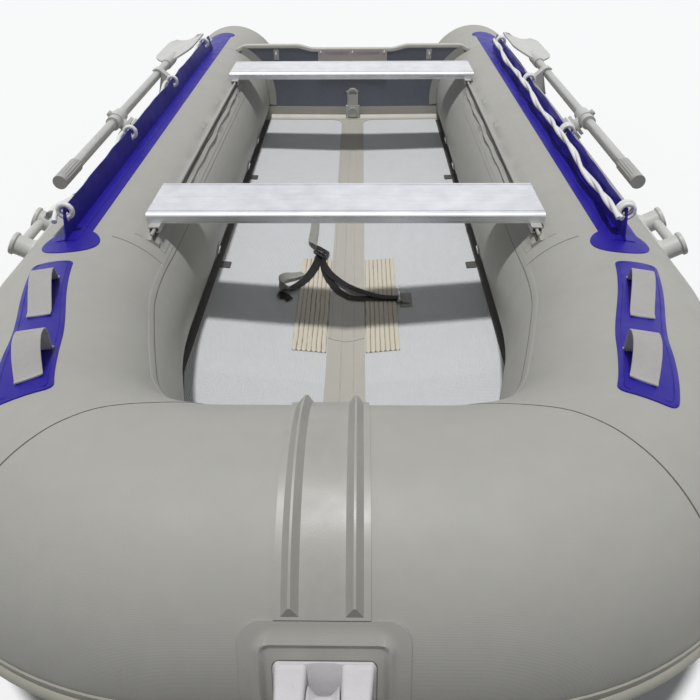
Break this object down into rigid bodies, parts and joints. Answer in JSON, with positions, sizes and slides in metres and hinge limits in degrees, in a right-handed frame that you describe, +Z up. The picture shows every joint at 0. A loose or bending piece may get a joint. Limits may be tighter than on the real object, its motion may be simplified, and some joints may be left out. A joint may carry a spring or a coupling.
{
  "type": "inflatable sport boat",
  "caption": "Inflatable boat with two side tubes, a raised bow tube, a wooden transom, sliding aluminium benches, stowed oars and a bow roller.",
  "frame": {"origin": "centre of the bounding box on the ground under the tubes", "axes": "-Y towards the bow, +X to port, +Z up"},
  "size_m": [1.7764, 3.7344, 0.5695],
  "materials": {
    "tube": "satin",
    "tube_dark": "satin",
    "blue": "gloss",
    "floor": "matte",
    "band": "satin",
    "rib": "matte",
    "board": "satin",
    "plate": "matte",
    "aluminium": "brushed",
    "plastic": "satin",
    "webbing": "matte",
    "steel": "polished",
    "strap": "matte",
    "rope": "matte",
    "roller": "satin"
  },
  "bodies": {
    "hull": {"port_tube": "tube", "starboard_tube": "tube", "bow_tube": "tube", "tail_cones": "tube", "tail_caps": "tube_dark", "hull_bottom": "tube_dark", "floor_panels": "floor", "floor_centre_band": "band", "floor_ribbed_pads": "rib", "transom_board": "board", "motor_plate_inner": "plate", "motor_plate_outer": "plate", "drain_housing": "plastic", "drain_plug": "plastic", "transom_eyes": "steel", "seat_flap_bases": "tube", "seat_flaps": "tube", "blue_strips": "blue", "line_flaps": "blue", "handle_patches": "blue", "webbing_handles": "webbing", "lifting_handles": "plastic", "oarlocks": "plastic", "oar_holders": "plastic", "bow_rub_strip": "tube", "roller_pad": "tube", "roller_bracket": "plastic", "side_rub_strakes": "tube_dark", "bow_rub_strake": "tube_dark", "keel_guard": "tube_dark", "transom_foot_tape": "tube", "transom_side_tapes": "tube", "port_lifeline": "rope", "starboard_lifeline": "rope", "oar_patches": "tube", "ring_patches": "tube", "cargo_rings": "steel", "tank_strap": "strap"},
    "port_oar": {"port_oar_shaft": "aluminium", "port_oar_grip": "plastic", "port_oar_collar": "plastic", "port_oar_blade": "plastic"},
    "starboard_oar": {"starboard_oar_shaft": "aluminium", "starboard_oar_grip": "plastic", "starboard_oar_collar": "plastic", "starboard_oar_blade": "plastic"},
    "front_seat": {"front_bench": "aluminium", "front_bench_slides": "plastic"},
    "aft_seat": {"aft_bench": "aluminium", "aft_bench_slides": "plastic"},
    "roller": {"bow_roller": "roller"}
  },
  "joints": [
    {"name": "port_oar_swing", "type": "hinge", "parent": "hull", "child": "port_oar", "pos_m": [0.83046, 0.205, 0.41173], "axis": [-0.7314, 0, -0.682], "range_deg": [0, 75]},
    {"name": "starboard_oar_swing", "type": "hinge", "parent": "hull", "child": "starboard_oar", "pos_m": [-0.83046, 0.205, 0.41173], "axis": [-0.7314, 0, 0.682], "range_deg": [0, 75]},
    {"name": "front_seat_slide", "type": "slide", "parent": "hull", "child": "front_seat", "axis": [0, 1, 0], "range_m": [0, 0.5]},
    {"name": "aft_seat_slide", "type": "slide", "parent": "hull", "child": "aft_seat", "axis": [0, 1, 0], "range_m": [-0.5, 0]},
    {"name": "bow_roller_spin", "type": "hinge", "parent": "hull", "child": "roller", "pos_m": [-0.004, -1.83815, 0.38783], "axis": [1, 0, 0], "continuous": true}
  ]
}
